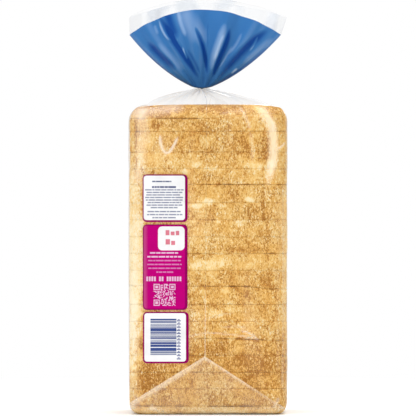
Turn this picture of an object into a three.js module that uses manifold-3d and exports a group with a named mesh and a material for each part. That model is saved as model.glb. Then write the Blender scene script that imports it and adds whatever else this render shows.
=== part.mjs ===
// A sliced sandwich loaf in its clear bread bag, standing on its heel with the gathered neck up.
// The bag is one piece of film: it wraps the loaf, is drawn in to a neck above it, and opens out again
// as a pleated tail. The film clings to the loaf, so bag and loaf are one solid up to the neck, and the
// tail above it is an open, thin-walled bowl. Each joint between two slices shows as a groove.
// Millimetres, +Z up. The origin is the middle of the base. The side seams run up the -Y and +Y faces.
import * as THREE from "three";
import { LoftGeometry } from "three/addons/geometries/LoftGeometry.js";
import { mergeVertices } from "three/addons/utils/BufferGeometryUtils.js";
import Module from "manifold-3d";

const wasm = await Module();
wasm.setup();

// Driving dimensions of the wrapped loaf
const PACK_WIDTH = 130.4;
const PACK_DEPTH = 118;
const PACK_HEIGHT = 255; // base to the top of the uppermost slice
const CORNER_RADIUS = 14; // of the loaf's four upright edges
const EDGE_RADIUS = 8; // of the film where it turns under the base

// The slices, from the base up: a thin heel, a run of even slices, and three squeezed ones
const HEEL_THICKNESS = 7;
const SLICE_THICKNESS = 13.9;
const EVEN_SLICES = 15;
const TOP_SLICES = [17, 10.6];
const GROOVE_DEPTH = 0.9;
const GROOVE_HALF_WIDTH = 1.5;

// The neck, a little to the left of the loaf's middle
const NECK_X = -5;
const NECK_Z = 270.8;
const NECK_HALF_WIDTH = 8.6;
const NECK_HALF_DEPTH = 7.2;
const SHOULDER_CURVE = 0.6; // power of the rise from the loaf's top to the neck: below 1 it is domed

// The tail: how far it reaches out from the neck, and how high its printed part stands
const TAIL_REACH_LEFT = 51.8;
const TAIL_REACH_RIGHT = 57.1;
const TAIL_REACH_DEPTH = 24;
const TAIL_HEIGHT_SIDE = 43;
const TAIL_HEIGHT_FRONT = 62.8;
const TAIL_BOW_SIDE = 0.45; // how much lower than a straight line the tail runs out to its two ends
const TAIL_BOW_FRONT = 0.15; // and to its front and back
const TAIL_FLARE = 1.6; // power of the way it opens from front to back: above 1 it opens early
const RIM_SHARE = 0.14; // length of the clear rim, as a share of the printed part
const RIM_HEIGHT_SIDE = 15;
const RIM_HEIGHT_FRONT = 9;
const RIM_REACH_LEFT = 0.5;
const RIM_REACH_RIGHT = 5.2;
const RIM_REACH_DEPTH = 2;
const TAIL_WALL = 1.4;
const PLEATS = 15;
const PLEAT_DEPTH = 2.2;
const SHOULDER_PLEAT_DEPTH = 1.1;

// The folded ear of film low on each seam side, and the seam that runs up from it
const EAR_PEAK = [-2.7, 48.2];
const EAR_LEFT = [-64, 10.5];
const EAR_RIGHT = [64, 5];
const EAR_BASE_Z = 4.5;
const EAR_PROUD = 0.9;
const EAR_TIP_RADIUS = 2.5;
const SEAM_WIDTH = 1.8;
const SEAM_PROUD = 0.6;
const SEAM_TOP = [-1.2, 240];
const BURIED = 3; // how deep an ear or seam starts inside the pack, so that it fuses

// Facets round the girth
const CORNER_STEPS = 4;
const SIDE_STEPS = 12;

const mix = THREE.MathUtils.lerp;

// The loaf's section as points from the middle of the +X side, anticlockwise: a rectangle with round corners
function girth(halfWidth, halfDepth, radius) {
  const points = [];
  const corners = [
    [1, 1, 0],
    [-1, 1, Math.PI / 2],
    [-1, -1, Math.PI],
    [1, -1, 1.5 * Math.PI],
  ];
  const straight = (from, to, steps) => {
    for (let i = 1; i < steps; i++) points.push(from.clone().lerp(to, i / steps));
  };
  let last = new THREE.Vector2(halfWidth, 0);
  points.push(last);
  corners.forEach(([sx, sy, from], k) => {
    const centre = new THREE.Vector2(sx * (halfWidth - radius), sy * (halfDepth - radius));
    const arc = [];
    for (let i = 0; i <= CORNER_STEPS; i++) {
      const angle = from + (i / CORNER_STEPS) * (Math.PI / 2);
      arc.push(new THREE.Vector2(Math.cos(angle), Math.sin(angle)).multiplyScalar(radius).add(centre));
    }
    straight(last, arc[0], k === 0 ? SIDE_STEPS / 2 : SIDE_STEPS);
    points.push(...arc);
    last = arc[CORNER_STEPS];
  });
  straight(last, points[0], SIDE_STEPS / 2);
  return points;
}

// Where each column of facets stands, as a share of the way round the girth
function columnShares() {
  const points = girth(PACK_WIDTH / 2, PACK_DEPTH / 2, CORNER_RADIUS);
  const lengths = points.map((p, i) => p.distanceTo(points[(i + 1) % points.length]));
  const whole = lengths.reduce((a, b) => a + b);
  let gone = 0;
  return lengths.map((length) => {
    const share = gone / whole;
    gone += length;
    return share;
  });
}

const SHARES = columnShares();

// One section of the wrapped loaf at a height, drawn in by an inset
function bodySection(z, inset) {
  const radius = CORNER_RADIUS - inset * 0.4;
  return girth(PACK_WIDTH / 2 - inset, PACK_DEPTH / 2 - inset, radius).map(
    (p) => new THREE.Vector3(p.x, p.y, z),
  );
}

// A quarter-round edge as [height above its start, inset] pairs
function quarterRound(rise, depth, steps) {
  return Array.from({ length: steps + 1 }, (_, i) => {
    const angle = (i / steps) * (Math.PI / 2);
    return [rise * Math.sin(angle), depth * (1 - Math.cos(angle))];
  });
}

// The heights of the joints between slices
function jointHeights() {
  const joints = [HEEL_THICKNESS];
  for (let i = 0; i < EVEN_SLICES; i++) joints.push(joints.at(-1) + SLICE_THICKNESS);
  for (const thickness of TOP_SLICES) joints.push(joints.at(-1) + thickness);
  return joints;
}

const TOP_EDGE = { rise: 14, depth: 15 };

// The inset that the round edges at the base and the top give the pack at a height
function edgeInset(z) {
  const below = EDGE_RADIUS - z;
  const above = z - (PACK_HEIGHT - TOP_EDGE.rise);
  if (below > 0) return EDGE_RADIUS - Math.sqrt(EDGE_RADIUS ** 2 - below ** 2);
  if (above > 0) return TOP_EDGE.depth * (1 - Math.sqrt(1 - (above / TOP_EDGE.rise) ** 2));
  return 0;
}

// The sections of the wrapped loaf from the base to its top, with a groove at each joint
function bodyRings() {
  const rings = quarterRound(EDGE_RADIUS, EDGE_RADIUS, 3).map(([rise]) => [EDGE_RADIUS - rise, 0]);
  quarterRound(TOP_EDGE.rise, TOP_EDGE.depth, 4).forEach(([rise]) =>
    rings.push([PACK_HEIGHT - TOP_EDGE.rise + rise, 0]),
  );
  const joints = jointHeights();
  const clear = rings.filter(([z]) => joints.every((j) => Math.abs(j - z) > GROOVE_HALF_WIDTH * 1.5));
  for (const z of joints) {
    clear.push([z - GROOVE_HALF_WIDTH, 0], [z, GROOVE_DEPTH], [z + GROOVE_HALF_WIDTH, 0]);
  }
  return clear.sort((a, b) => a[0] - b[0]).map(([z, groove]) => bodySection(z, edgeInset(z) + groove));
}

// A soft pleat wave round the girth, uneven from one pleat to the next
function pleatWave(share) {
  const angle = share * 2 * Math.PI;
  return Math.cos(PLEATS * angle) + 0.45 * Math.cos((PLEATS - 4) * angle + 1.3);
}

// The film from the top of the loaf in to the neck, as a low dome with radial pleats
function shoulderSection(inward) {
  const edge = bodySection(PACK_HEIGHT, edgeInset(PACK_HEIGHT));
  const height = mix(PACK_HEIGHT, NECK_Z, inward ** SHOULDER_CURVE);
  const slack = SHOULDER_PLEAT_DEPTH * Math.sin(Math.PI * inward);
  return edge.map((p, i) => {
    const neck = neckPoint(SHARES[i]);
    return new THREE.Vector3(
      mix(p.x, neck.x, inward),
      mix(p.y, neck.y, inward),
      height + slack * pleatWave(SHARES[i]),
    );
  });
}

function neckPoint(share) {
  const angle = share * 2 * Math.PI;
  return new THREE.Vector3(
    NECK_X + NECK_HALF_WIDTH * Math.cos(angle),
    NECK_HALF_DEPTH * Math.sin(angle),
    NECK_Z,
  );
}

// A point of the tail's film: s is 0 at the neck, 1 at the edge of the print, and then the clear rim
function tailPoint(share, s) {
  const angle = share * 2 * Math.PI;
  const [across, deep] = [Math.cos(angle), Math.sin(angle)];
  const tip = across ** 2;
  const printed = Math.min(s, 1);
  const rim = Math.max(s - 1, 0) / RIM_SHARE;
  const reachLeft = TAIL_REACH_LEFT * printed + RIM_REACH_LEFT * rim;
  const reachRight = TAIL_REACH_RIGHT * printed + RIM_REACH_RIGHT * rim;
  const reachX = across < 0 ? reachLeft : reachRight;
  const reachY = TAIL_REACH_DEPTH * (1 - (1 - printed) ** TAIL_FLARE) + RIM_REACH_DEPTH * rim;
  const riseSide = TAIL_HEIGHT_SIDE * mix(printed, printed ** 2, TAIL_BOW_SIDE) + RIM_HEIGHT_SIDE * rim;
  const riseFront = TAIL_HEIGHT_FRONT * mix(printed, printed ** 2, TAIL_BOW_FRONT) + RIM_HEIGHT_FRONT * rim;
  const pleat = PLEAT_DEPTH * pleatWave(share) * Math.sin(printed * 0.75 * Math.PI) * (1 - tip ** 4);
  return new THREE.Vector3(
    NECK_X + (NECK_HALF_WIDTH + reachX + pleat * deep ** 2) * across,
    (NECK_HALF_DEPTH + reachY + pleat) * deep,
    NECK_Z + mix(riseFront, riseSide, tip),
  );
}

// The same point on the inside of the tail's wall
function tailInnerPoint(share, s) {
  const step = 1e-3;
  const point = tailPoint(share, s);
  const along = tailPoint(share, s + step).sub(tailPoint(share, s - step));
  const round = tailPoint(share + step, s).sub(tailPoint(share - step, s));
  const outward = round.cross(along).normalize();
  return point.addScaledVector(outward, -TAIL_WALL);
}

// The whole outside of the bag, over the rim and down inside the tail to where it closes at the neck
function bagSections() {
  const tailOuter = [0.05, 0.14, 0.26, 0.4, 0.55, 0.7, 0.85, 1, 1 + RIM_SHARE / 2, 1 + RIM_SHARE];
  const tailInner = [1 + RIM_SHARE, 1 + RIM_SHARE / 2, 1, 0.85, 0.7, 0.55, 0.4, 0.26, 0.16];
  const ring = (pointAt, s) => SHARES.map((share) => pointAt(share, s));
  const floor = new THREE.Vector3(NECK_X, 0, NECK_Z + 5);
  return [
    ...bodyRings(),
    ...[0.06, 0.2, 0.42, 0.64, 0.84].map(shoulderSection),
    SHARES.map(neckPoint),
    ...tailOuter.map((s) => ring(tailPoint, s)),
    ...tailInner.map((s) => ring(tailInnerPoint, s)),
    SHARES.map(() => floor),
  ];
}

// A closed geometry as a solid that can be joined to others
function solidOf({ attributes, index: faces }) {
  const bare = new THREE.BufferGeometry();
  bare.setAttribute("position", attributes.position).setIndex(faces);
  const merged = mergeVertices(bare, 1e-4);
  const index = merged.index.array;
  const triVerts = [];
  for (let i = 0; i < index.length; i += 3) {
    const [a, b, c] = [index[i], index[i + 1], index[i + 2]];
    if (a !== b && b !== c && c !== a) triVerts.push(a, b, c);
  }
  return new wasm.Manifold(
    new wasm.Mesh({
      numProp: 3,
      vertProperties: merged.attributes.position.array,
      triVerts: new Uint32Array(triVerts),
    }),
  );
}

function geometryOf(solid) {
  const { vertProperties, triVerts } = solid.getMesh();
  const geometry = new THREE.BufferGeometry();
  geometry.setAttribute("position", new THREE.BufferAttribute(new Float32Array(vertProperties), 3));
  geometry.setIndex(new THREE.BufferAttribute(new Uint32Array(triVerts), 1));
  geometry.computeVertexNormals();
  return geometry;
}

// A flat outline in X and Z as a skin that stands proud of the -Y face, or of the +Y face, and follows
// the loaf's round edges
function skinOnFace(shape, proud, face) {
  const cutter = new THREE.ExtrudeGeometry(shape, { depth: PACK_DEPTH / 2, bevelEnabled: false });
  cutter.rotateX(Math.PI / 2);
  cutter.translate(0, BURIED + CORNER_RADIUS - PACK_DEPTH / 2, 0);
  if (face > 0) cutter.rotateZ(Math.PI);
  const heights = [EAR_BASE_Z / 2, EAR_BASE_Z * 1.5, EDGE_RADIUS, PACK_HEIGHT - TOP_EDGE.rise];
  const swollen = heights.map((z) => bodySection(z, edgeInset(z) - proud));
  return solidOf(new LoftGeometry(swollen, { capStart: true, capEnd: true })).intersect(solidOf(cutter));
}

// The ear: the bag's bottom corner folds flat up the seam side as a triangle with a blunt tip
function earShape() {
  const [left, peak, right] = [EAR_LEFT, EAR_PEAK, EAR_RIGHT].map((p) => new THREE.Vector2(...p));
  const toLeft = left.clone().sub(peak).setLength(EAR_TIP_RADIUS).add(peak);
  const toRight = right.clone().sub(peak).setLength(EAR_TIP_RADIUS).add(peak);
  const shape = new THREE.Shape();
  shape.moveTo(left.x, EAR_BASE_Z);
  shape.lineTo(right.x, EAR_BASE_Z);
  shape.lineTo(right.x, right.y);
  shape.lineTo(toRight.x, toRight.y);
  shape.quadraticCurveTo(peak.x, peak.y, toLeft.x, toLeft.y);
  shape.lineTo(left.x, left.y);
  shape.closePath();
  return shape;
}

// The side seam: a narrow welded strip from the ear's tip to the top of the loaf
function seamShape() {
  const shape = new THREE.Shape();
  const [foot, top] = [EAR_PEAK, SEAM_TOP];
  const half = SEAM_WIDTH / 2;
  const overlap = 4; // down into the ear
  shape.moveTo(foot[0] - half, foot[1] - overlap);
  shape.lineTo(foot[0] + half, foot[1] - overlap);
  shape.lineTo(top[0] + half, top[1]);
  shape.lineTo(top[0] - half, top[1]);
  shape.closePath();
  return shape;
}

function bagGeometry() {
  let bag = solidOf(new LoftGeometry(bagSections(), { capStart: true }));
  for (const face of [-1, 1]) {
    bag = bag.add(skinOnFace(earShape(), EAR_PROUD, face));
    bag = bag.add(skinOnFace(seamShape(), SEAM_PROUD, face));
  }
  return geometryOf(bag);
}

const bag = new THREE.Mesh(
  bagGeometry(),
  new THREE.MeshStandardMaterial({ color: 0xe2b473, roughness: 0.45, metalness: 0 }),
);
bag.name = "bag";

const pack = new THREE.Group();
pack.add(bag);

export default pack;
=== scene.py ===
# A sliced sandwich loaf in its clear bread bag, standing on its heel with the gathered neck up.
# Metres, +Z up. The seam side that carries the three printed panels faces -Y.
import math
import random

import bmesh
import bpy
from mathutils import Matrix, Vector, noise


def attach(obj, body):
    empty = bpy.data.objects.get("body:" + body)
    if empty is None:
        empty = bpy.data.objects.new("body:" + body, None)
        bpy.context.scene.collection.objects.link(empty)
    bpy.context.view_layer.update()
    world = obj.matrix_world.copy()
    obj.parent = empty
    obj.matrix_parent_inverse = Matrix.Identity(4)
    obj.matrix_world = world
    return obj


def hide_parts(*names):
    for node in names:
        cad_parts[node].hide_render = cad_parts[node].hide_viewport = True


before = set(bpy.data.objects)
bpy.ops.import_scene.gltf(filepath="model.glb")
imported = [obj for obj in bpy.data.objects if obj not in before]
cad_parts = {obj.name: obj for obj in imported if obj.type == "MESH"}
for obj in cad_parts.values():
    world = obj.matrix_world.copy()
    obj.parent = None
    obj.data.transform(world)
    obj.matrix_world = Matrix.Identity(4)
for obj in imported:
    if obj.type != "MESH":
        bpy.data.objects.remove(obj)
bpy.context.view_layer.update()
MM = 0.001

# Camera
# Square on to the seam side and level with the pack's middle, from far off with a long lens, so that
# the pack fills the picture from its base to the bag's rim.
PIXEL = 0.82 * MM  # a picture's pixel, at the pack's front face
PICTURE = 416
BASE_ROW = 415  # the row of pixels that the pack's base stands on
LENS = 400 * MM
SENSOR = 36 * MM
FRONT_FACE = -59 * MM

camera_data = bpy.data.cameras.new("camera")
camera_data.lens = LENS / MM
camera_data.sensor_width = SENSOR / MM
camera = bpy.data.objects.new("camera", camera_data)
camera_distance = PICTURE * PIXEL * LENS / SENSOR
camera.location = (0, FRONT_FACE - camera_distance, (BASE_ROW - PICTURE / 2) * PIXEL)
camera.rotation_euler = (math.pi / 2, 0, 0)
bpy.context.scene.collection.objects.link(camera)
bpy.context.scene.camera = camera
bpy.context.scene.view_settings.view_transform = "Standard"


# Floor and light
# A white table in a white tent: a wide pale disc that glows as white as the tent further out, an even
# sky, one broad soft light on the left, weaker ones on the right and behind, and a large one overhead.
FLOOR_RADIUS = 1.6
GLOW_START = 0.35  # metres from the pack's middle where the floor begins to glow
GLOW_FULL = 0.8
TENT_TO_EYE = 1.0  # how bright the tent looks
TENT_LIGHT = 0.4  # how much light it gives
SHEEN_SHARE = 0.45  # how far its reflections lie from the light it gives to the way it looks


def link_mesh(bm, name):
    """The bmesh as a new object at the origin."""
    mesh = bpy.data.meshes.new(name)
    bm.to_mesh(mesh)
    bm.free()
    piece = bpy.data.objects.new(name, mesh)
    bpy.context.scene.collection.objects.link(piece)
    return piece


def new_material(name):
    """A material with a bare node tree: its nodes, its links and its output."""
    material = bpy.data.materials.new(name)
    material.use_nodes = True
    nodes, links = material.node_tree.nodes, material.node_tree.links
    nodes.clear()
    output = nodes.new("ShaderNodeOutputMaterial")
    return material, nodes, links, output


def pale_floor_paint():
    """White near the pack, and glowing as the tent does further out."""
    material, nodes, links, output = new_material("pale_floor")
    shader = nodes.new("ShaderNodeBsdfPrincipled")
    shader.inputs["Base Color"].default_value = (0.93, 0.93, 0.93, 1)
    shader.inputs["Roughness"].default_value = 0.7
    where = nodes.new("ShaderNodeTexCoord")
    reach = nodes.new("ShaderNodeVectorMath")
    reach.operation = "LENGTH"
    links.new(where.outputs["Object"], reach.inputs[0])
    glow_share = nodes.new("ShaderNodeMapRange")
    glow_share.interpolation_type = "SMOOTHSTEP"
    glow_share.inputs["From Min"].default_value = GLOW_START
    glow_share.inputs["From Max"].default_value = GLOW_FULL
    links.new(reach.outputs["Value"], glow_share.inputs["Value"])
    glow = nodes.new("ShaderNodeEmission")
    surface = nodes.new("ShaderNodeMixShader")
    links.new(glow_share.outputs["Result"], surface.inputs["Fac"])
    links.new(shader.outputs["BSDF"], surface.inputs[1])
    links.new(glow.outputs["Emission"], surface.inputs[2])
    links.new(surface.outputs["Shader"], output.inputs["Surface"])
    return material


bm = bmesh.new()
bmesh.ops.create_circle(bm, cap_ends=True, radius=FLOOR_RADIUS, segments=128)
floor = link_mesh(bm, "floor")
floor.data.materials.append(pale_floor_paint())

world = bpy.data.worlds.new("tent")
world.use_nodes = True
world_nodes, world_links = world.node_tree.nodes, world.node_tree.links
tent = world_nodes["Background"]
ray = world_nodes.new("ShaderNodeLightPath")
tent_strength = world_nodes.new("ShaderNodeMix")
tent_strength.inputs["A"].default_value = TENT_LIGHT
tent_strength.inputs["B"].default_value = TENT_TO_EYE
seen = world_nodes.new("ShaderNodeMath")  # 1 to the eye, less in a reflection, 0 as light
seen.operation = "MULTIPLY_ADD"
seen.use_clamp = True
seen.inputs[1].default_value = SHEEN_SHARE
world_links.new(ray.outputs["Is Glossy Ray"], seen.inputs[0])
world_links.new(ray.outputs["Is Camera Ray"], seen.inputs[2])
world_links.new(seen.outputs["Value"], tent_strength.inputs["Factor"])
world_links.new(tent_strength.outputs["Result"], tent.inputs["Strength"])
tent.inputs["Color"].default_value = (1, 1, 1, 1)
bpy.context.scene.world = world


def soft_light(name, place, aim, size, power):
    """A square area light that looks from its place at a point."""
    data = bpy.data.lights.new(name, "AREA")
    data.size = size
    data.energy = power
    light = bpy.data.objects.new(name, data)
    light.location = place
    light.rotation_euler = (Vector(aim) - Vector(place)).to_track_quat("-Z", "Y").to_euler()
    bpy.context.scene.collection.objects.link(light)


PACK_MIDDLE = (0, 0, 0.16)
soft_light("key", (-1.1, -1.3, 0.9), PACK_MIDDLE, 0.9, 13)
soft_light("fill", (1.3, -1.1, 0.5), PACK_MIDDLE, 0.9, 7)
soft_light("back", (0.4, 1.6, 0.9), PACK_MIDDLE, 0.9, 9)
soft_light("overhead", (0, 0, 2.6), PACK_MIDDLE, 2.4, 60)

# The wrapped loaf's form
# The film is drawn tight over the slices as a box with round edges, tapers as a low dome to a neck a
# little left of the middle, and opens again above it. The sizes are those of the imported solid, but for
# the edge at the base, which is 2 mm rounder, and the neck, which starts 2.2 mm lower.
HALF_WIDTH = 65.2 * MM
HALF_DEPTH = -FRONT_FACE
PACK_TOP = 255 * MM
CORNER_RADIUS = 14 * MM
BASE_EDGE = 10 * MM
TOP_EDGE_RISE = 14 * MM
TOP_EDGE_DEPTH = 15 * MM
NECK = Vector((-5 * MM, 0, 270.8 * MM))
NECK_HALF_WIDTH = 8.6 * MM
NECK_HALF_DEPTH = 7.2 * MM
NECK_FREE = 2.2 * MM  # height of the bare neck, between the shoulder's head and the printed tail


def girth(share, inset):
    """A point x, y of the box's section, a share of the way round from the middle of its +X side."""
    radius = CORNER_RADIUS - 0.4 * inset
    along_side = HALF_DEPTH - inset - radius
    along_front = HALF_WIDTH - inset - radius
    quarter = along_side + radius * math.pi / 2 + along_front
    quadrant, gone = divmod((share % 1) * 4 * quarter, quarter)
    if quadrant % 2:
        gone = quarter - gone
    if gone < along_side:
        x, y = HALF_WIDTH - inset, gone
    elif gone > quarter - along_front:
        x, y = quarter - gone, HALF_DEPTH - inset
    else:
        turn = (gone - along_side) / radius
        x = along_front + radius * math.cos(turn)
        y = along_side + radius * math.sin(turn)
    return Vector((-x if quadrant in (1, 2) else x, -y if quadrant in (2, 3) else y, 0))


def edge_inset(z):
    """How far the round edges at base and top draw the section in at a height."""
    if z < BASE_EDGE:
        return BASE_EDGE - math.sqrt(max(BASE_EDGE**2 - (BASE_EDGE - z) ** 2, 0))
    above = (z - (PACK_TOP - TOP_EDGE_RISE)) / TOP_EDGE_RISE
    if above > 0:
        return TOP_EDGE_DEPTH * (1 - math.sqrt(max(1 - above**2, 0)))
    return 0.0


def blend(low, high, share):
    """A value between two, or a point between two."""
    return low + (high - low) * share


def step_up(value, start, end):
    """0 before start, 1 after end, and smooth between them."""
    share = min(max((value - start) / (end - start), 0), 1)
    return share * share * (3 - 2 * share)


def pleat_wave(share):
    """An uneven wave of pleats round the neck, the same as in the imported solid."""
    angle = share * 2 * math.pi
    return math.cos(15 * angle) + 0.45 * math.cos(11 * angle + 1.3)


# Slices
# Nineteen slices of a square tin loaf stand on each other, heel down. Each is soft white bread with a
# thin golden crust all round, pitted where the dough met the tin, and cut faces that are nearly flat.
HEEL = 7 * MM
SLICE = 13.9 * MM
EVEN_SLICES = 15
SQUEEZED_SLICES = [17 * MM, 10.6 * MM]
LOAF_FOOT = 0.8 * MM
LOAF_TOP = PACK_TOP - 0.7 * MM
CROWN = 0.8 * MM  # how much the uppermost slice swells in its middle
CROWN_DROP = 2.6 * MM  # how much it falls away towards its two sides
BREAD_LEFT = -64.4 * MM
BREAD_RIGHT = 64.9 * MM
BREAD_HALF_DEPTH = 57.5 * MM
CRUST_COLUMNS = 500
CRUST_ROWS = 15
JOINT_BROWN = 6.5  # how much darker the crust's edge is at a joint, for each millimetre that it gapes
CUT_INSETS = [3.2 * MM, 0.3 * MM, 0.05 * MM]  # of the rings at a cut face, from inside it to the crust
CRUST_DARK = (0.42, 0.175, 0.034)
CRUST_DEEP = (0.695, 0.37, 0.088)
CRUST_GOLD = (0.82, 0.533, 0.174)
CRUST_PALE = (0.875, 0.677, 0.332)
CRUST_CREAM = (0.89, 0.785, 0.56)
SLICE_SHIFT = 0.12 * MM
JOINT_GAPES = {  # how far some joints stand open in millimetres, left and right of the seam
    1: (0.26, 0.32),
    2: (0.08, 0.16),
    3: (0.12, 0.04),
    5: (0.06, 0.22),
    8: (0.12, 0.28),
    10: (0.16, 0.26),
    12: (0.04, 0.12),
    14: (0.05, 0.2),
    16: (0.14, 0.02),
    17: (0.42, 0.08),
    18: (0.17, 0.03),
}


def joint_heights():
    """The heights where one slice ends and the next begins, base and top included."""
    heights = [LOAF_FOOT, HEEL]
    for _ in range(EVEN_SLICES):
        heights.append(heights[-1] + SLICE)
    for thickness in SQUEEZED_SLICES:
        heights.append(heights[-1] + thickness)
    return heights + [LOAF_TOP]


def joint_lean(x, number):
    """How far a joint bows up or down across the loaf, most at a few slices that sit askew."""
    bow = 0.5 * MM * noise.noise(Vector((x * 14, number * 3.7, 0.0)))
    if number == 8:
        bow += 1.2 * MM - 2 * MM * step_up(x, 30 * MM, 55 * MM)
    if number == 14:
        bow += 1.3 * MM
    if number == 5:
        bow -= 2.4 * MM * (x / HALF_WIDTH) ** 2 * (1 if x > 0 else 0.3)
    if number == 18:
        bow += 3.4 * MM * step_up(x, 0, 34 * MM)
    return bow


def joint_gape(place, number):
    """How far a joint stands open at a point of its edge: a few are open here and there, most are shut."""
    broad = noise.noise(Vector((place.x * 18, place.y * 18, number * 5.1)))
    ragged = noise.noise(Vector((place.x * 160, place.y * 160, number * 2.3)))
    left, right = JOINT_GAPES.get(number, (0.03, 0.03))
    side = place.x if place.y < 0 else -place.x
    widest = blend(left, right, step_up(side, -8 * MM, 8 * MM)) * MM
    return widest * (0.05 + 0.95 * step_up(broad + 0.9 * ragged, -0.2, 0.5))


def rounded(points):
    """A stroke's points in millimetres as a smooth line in metres: each corner is cut twice."""
    line = [Vector(point) * MM for point in points]
    for _ in range(2):
        cut = [line[0]]
        for a, b in zip(line, line[1:]):
            cut += [blend(a, b, 0.25), blend(a, b, 0.75)]
        line = cut + [line[-1]]
    return line


class Stroke:
    """A lens-shaped streak along a line on a face, whose points are x and z seen from outside. It lifts the
    surface, and tints it: darker or paler crust, milkier film, or painted shade or painted highlight on the
    print."""

    def __init__(self, points, width, lift=0.0, tint=0.0, taper=1.3):
        self.line = rounded(points)
        self.taper = taper
        self.width = width * MM
        self.lift = lift * MM
        self.tint = tint
        self.low = Vector(min(p[i] for p in self.line) - self.width for i in (0, 1))
        self.high = Vector(max(p[i] for p in self.line) + self.width for i in (0, 1))

    def strength(self, spot):
        """1 on the line, 0 beyond its width, and narrower and fainter towards its two ends."""
        if not (self.low.x < spot.x < self.high.x and self.low.y < spot.y < self.high.y):
            return 0.0
        best = 0.0
        spans = len(self.line) - 1
        for i in range(spans):
            a, b = self.line[i], self.line[i + 1]
            ab = b - a
            t = min(max((spot - a).dot(ab) / ab.length_squared, 0), 1)
            off = (spot - a - ab * t).length
            if off < self.width:
                end = min(1, self.taper * math.sin(math.pi * (i + t) / spans))
                reach = self.width * (0.3 + 0.7 * end)
                best = max(best, end * (1 - step_up(off, 0.1 * reach, reach)))
        return best


# Patches of crust darker or paler than the rest, as baked; some of them are painted light, marked below.
BAKE_AND_LIGHT_PATCHES = [  # x, z, half width and half height in millimetres, and how much darker
    (33, 219, 24, 15, 0.8),
    (-8, 229, 14, 13, 0.9),
    (18, 250, 30, 5, 0.5),
    (57, 250, 12, 7, 0.3),
    (60, 236, 3.5, 14, 0.5),
    (-43, 237.5, 6, 5, 2.2),
    (-39, 244.5, 9, 2.2, 1.6),
    (42, 44, 30, 17, 1.4),
    (-4, 52, 26, 9, 0.7),
    (50, 100, 14, 26, 0.6),
    (-52, 29, 7, 12, 1.8),
    (-42, 34, 14, 18, 0.9),
    (-36, 58, 22, 12, 0.6),
    (-58, 8, 4, 5, 2),
    (28, 137, 26, 5, 0.9),
    (22, 181, 4, 6, 1.5),
    (34, 166, 5, 5, 1.4),
    (48, 111, 9, 7, 1.4),
    (24, 117, 12, 4, 0.8),
    (26, 42, 8, 4, 1.4),
    (33, 30, 4, 3.5, 2),
    (-9, 158, 12, 8, 0.4),
    (-38, 205, 26, 12, -0.9),
    # painted highlight: a pale band down the left corner, where the film catches the key light
    (-61, 128, 12, 100, -3.1),
    (-60, 225, 10, 40, 0.2),
    # painted highlight: the same pale band lower down the left corner
    (-63, 60, 5, 60, -2.6),
    (66, 140, 7, 110, -1.0),
    # painted shade: the next two darken the top edge, where the overhead light falls full
    (-48, 250, 24, 7, 1.7),
    (10, 251, 46, 5, 0.7),
    (-1, 224, 6, 6, -2.4),
    (-19, 199.5, 5, 3, -2.4),
    (-14.6, 213, 3, 2.5, -2.4),
    (-10.5, 205, 4, 3, -2.4),
    (36, 206, 10, 5.5, -1.8),
    (3, 201.5, 12, 2.4, -2.4),
    (1, 175.5, 7, 3.6, -3.4),
    (-10, 171.5, 6, 2.8, -2.6),
    (11, 171.5, 4, 2.4, -2.4),
    (34.6, 176.3, 4.5, 3, -3.6),
    (27, 157.5, 6, 4.5, -2.4),
    (8, 158.5, 2.6, 2.2, -2.6),
    (-11.3, 158.5, 3.6, 2.4, -2.2),
    (-2, 123.5, 16, 5, -1.6),
    (12.5, 126, 6, 3.2, -2.0),
    (37, 124.5, 17, 4.5, -0.9),
    (-12, 103.3, 4.6, 2.6, -2.2),
    (-3.6, 101, 4.6, 3, -2.2),
    (13.5, 101.5, 4.6, 2.8, -2.2),
    (-0.6, 94.3, 4.6, 2.8, -2.2),
    (5.4, 83, 8, 3.4, -2.6),
    (-10.5, 82, 4.6, 3, -1.8),
    (18, 88, 5, 6, -1.8),
    (8, 120, 16, 8, -0.3),
    (6, 5, 34, 6, -1.1),
]
BAKE_AND_LIGHT_STROKES = [
    # painted highlight: the crust paler under the film's sweeping fold at the upper right, where the film
    # catches the light
    Stroke([(40.8, 256), (46.5, 247), (50.4, 241), (52.5, 235), (53.6, 225), (53.8, 217), (53, 208),
            (51, 200), (48, 186)], 6, 0, -1.8, 2),
    Stroke([(23, 232), (32, 222), (35, 212)], 5, 0, 0.8, 2),
    Stroke([(33, 210), (42, 208.5), (48.6, 213), (49, 226), (46, 234)], 5, 0, 1.2, 2),
    Stroke([(34, 228), (37, 218), (39, 210)], 3, 0, -1.8, 2),
    Stroke([(-59.4, 246), (-59.6, 215), (-59.4, 190)], 2, 0, 2.2, 2),
    Stroke([(45.3, 186), (45.3, 172), (46, 158)], 2, 0, 2.4, 2),
    Stroke([(5, 134.5), (25, 135.5), (52, 135)], 3.2, 0, 1.2, 2),
    Stroke([(-8, 136), (-20, 138)], 2.4, 0, 1.2, 2),
]


def crust_relief(place):
    """Swells and pits of the crust at a point of it."""
    swell = noise.noise(place * 38) * 0.4
    coarse = noise.noise(Vector((place.x, place.y, place.z * 0.6)) * 230) * 0.22
    fine = noise.noise(Vector((place.x, place.y, place.z * 0.6)) * 560) * 0.16
    return (swell + coarse + fine) * MM


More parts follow.
